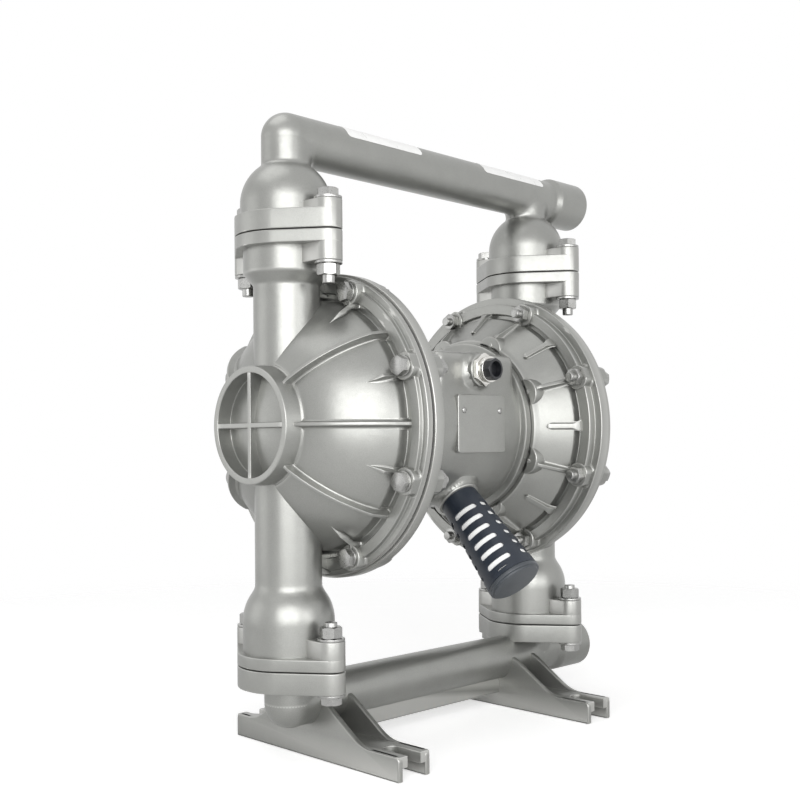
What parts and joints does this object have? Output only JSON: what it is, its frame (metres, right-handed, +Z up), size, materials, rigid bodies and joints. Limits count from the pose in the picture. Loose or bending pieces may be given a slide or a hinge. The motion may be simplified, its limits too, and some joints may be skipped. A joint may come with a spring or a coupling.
{
  "type": "air operated diaphragm pump",
  "caption": "Air operated double diaphragm pump in cast aluminium: two ribbed fluid chambers on a central air motor, ball-check manifolds, end ports, slotted feet and a silencer.",
  "frame": {"origin": "on the floor, at the centre of the four foot slots and of the two fluid columns", "axes": "+X along the diaphragm shaft towards the open ports, -Y towards the air inlet and the silencer, +Z up"},
  "size_m": [0.507, 0.305, 0.6335],
  "materials": {
    "cast_aluminium": "bead-blasted satin casting",
    "stainless": "satin stainless fasteners",
    "steel": "ground steel",
    "plate_steel": "turned steel",
    "diaphragm_rubber": "moulded elastomer",
    "ball_rubber": "moulded elastomer",
    "seat_plastic": "engineering plastic",
    "seal_rubber": "elastomer",
    "bush_bronze": "sintered bronze",
    "nickel_brass": "nickel-plated brass",
    "black_plastic": "moulded plastic",
    "silencer_plastic": "moulded plastic, low sheen",
    "silencer_core": "porous white plastic",
    "cap_plastic": "moulded plastic, low sheen",
    "valve_aluminium": "machined",
    "gasket": "sheet gasket",
    "label_white": "bare white label film"
  },
  "bodies": {
    "housing": {"air_chamber_left": "cast_aluminium", "air_chamber_right": "cast_aluminium", "centre_body": "cast_aluminium", "clamp_bolts_left": "stainless", "clamp_bolts_right": "stainless", "clamp_nuts_left": "stainless", "clamp_nuts_right": "stainless", "clamp_washers_left": "stainless", "clamp_washers_right": "stainless", "flange_bolts_low": "stainless", "flange_bolts_top": "stainless", "flange_nuts": "stainless", "flange_washers": "stainless", "fluid_cap_left": "cast_aluminium", "fluid_cap_right": "cast_aluminium", "hub_gaskets": "gasket", "hub_screws_left": "steel", "hub_screws_right": "steel", "inlet_collar": "black_plastic", "inlet_fitting": "nickel_brass", "inlet_manifold": "cast_aluminium", "label_left": "label_white", "label_right": "label_white", "outlet_manifold": "cast_aluminium", "plate_pins": "stainless", "seat_rings": "seal_rubber", "shaft_bushes": "bush_bronze", "shaft_seals": "seal_rubber", "silencer_cap": "cap_plastic", "silencer_core": "silencer_core", "silencer_shell": "silencer_plastic", "valve_body": "valve_aluminium", "valve_end_caps": "valve_aluminium", "valve_gasket": "gasket", "valve_screws": "steel", "valve_seats": "seat_plastic"},
    "reciprocating_assembly": {"main_shaft": "steel", "inner_plate_left": "plate_steel", "inner_plate_right": "plate_steel", "outer_plate_left": "plate_steel", "outer_plate_right": "plate_steel", "plate_nuts": "steel", "diaphragm_left": "diaphragm_rubber", "diaphragm_right": "diaphragm_rubber"},
    "pilot": {"pilot_rod": "steel", "pilot_clips": "steel"},
    "spool": {"valve_spool": "valve_aluminium"},
    "ball_inlet_left": {"inlet_ball_left": "ball_rubber"},
    "ball_inlet_right": {"inlet_ball_right": "ball_rubber"},
    "ball_outlet_left": {"outlet_ball_left": "ball_rubber"},
    "ball_outlet_right": {"outlet_ball_right": "ball_rubber"}
  },
  "joints": [
    {"name": "shaft_stroke", "type": "slide", "parent": "housing", "child": "reciprocating_assembly", "axis": [1, 0, 0], "range_m": [-0.014, 0.014], "deforming": ["diaphragm_left", "diaphragm_right"]},
    {"name": "pilot_travel", "type": "slide", "parent": "housing", "child": "pilot", "axis": [1, 0, 0], "range_m": [-0.003, 0.003]},
    {"name": "spool_travel", "type": "slide", "parent": "housing", "child": "spool", "axis": [1, 0, 0], "range_m": [-0.007, 0.007]},
    {"name": "inlet_ball_lift_left", "type": "slide", "parent": "housing", "child": "ball_inlet_left", "axis": [0, 0, 1], "range_m": [0, 0.009]},
    {"name": "inlet_ball_lift_right", "type": "slide", "parent": "housing", "child": "ball_inlet_right", "axis": [0, 0, 1], "range_m": [0, 0.009]},
    {"name": "outlet_ball_lift_left", "type": "slide", "parent": "housing", "child": "ball_outlet_left", "axis": [0, 0, 1], "range_m": [0, 0.009]},
    {"name": "outlet_ball_lift_right", "type": "slide", "parent": "housing", "child": "ball_outlet_right", "axis": [0, 0, 1], "range_m": [0, 0.009]}
  ]
}
